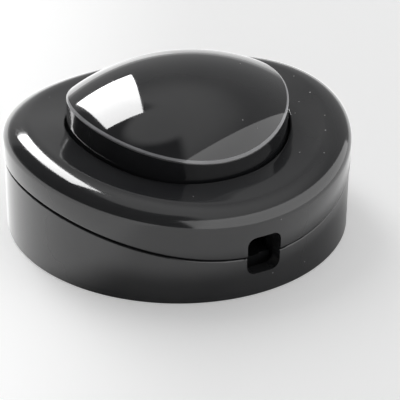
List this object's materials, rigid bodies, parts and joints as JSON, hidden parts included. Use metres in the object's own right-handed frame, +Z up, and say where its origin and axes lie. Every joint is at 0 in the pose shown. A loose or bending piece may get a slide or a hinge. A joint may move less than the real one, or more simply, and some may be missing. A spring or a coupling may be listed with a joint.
{
  "type": "foot switch",
  "caption": "Round two-shell inline foot switch with an arched parting line and a domed press button in a low collar.",
  "frame": {"origin": "middle of the underside, on the surface that the four feet stand on", "axes": "+Z up along the button's travel, +X along the cord towards one opening, +Y across it"},
  "size_m": [0.0664, 0.0664, 0.0319],
  "materials": {
    "case_plastic": "gloss black moulded shell",
    "button_plastic": "polished black moulded button",
    "inner_plastic": "natural acetal",
    "block_plastic": "pale thermoset",
    "brass": "stamped and turned brass",
    "steel": "zinc-plated steel",
    "foot_rubber": "matt black rubber"
  },
  "bodies": {
    "case": {"base_shell": "case_plastic", "block_screws": "steel", "case_screws": "steel", "clamp_screws": "steel", "contact_spring_1": "brass", "contact_spring_2": "brass", "contact_spring_3": "brass", "contact_spring_4": "brass", "cord_clamp_1": "block_plastic", "cord_clamp_2": "block_plastic", "cover_shell": "case_plastic", "return_spring": "steel", "rotor_spring": "steel", "rubber_foot_1": "foot_rubber", "rubber_foot_2": "foot_rubber", "rubber_foot_3": "foot_rubber", "rubber_foot_4": "foot_rubber", "switch_block": "block_plastic", "terminal_1": "brass", "terminal_2": "brass", "terminal_3": "brass", "terminal_4": "brass", "terminal_screws": "steel"},
    "button": {"foot_button": "button_plastic", "plunger": "inner_plastic"},
    "rotor": {"ratchet_rotor": "inner_plastic", "contact_ring_lower": "brass", "contact_ring_upper": "brass"}
  },
  "joints": [
    {"name": "button_press", "type": "slide", "parent": "case", "child": "button", "axis": [0, 0, 1], "range_m": [-0.003, 0], "stiffness_N_per_m": 800, "springref_m": 0.006, "deforming": ["return_spring", "rotor_spring"]},
    {"name": "rotor_turn", "type": "hinge", "parent": "button", "child": "rotor", "pos_m": [0, 0, 0.0102], "axis": [0, 0, 1], "continuous": true}
  ]
}
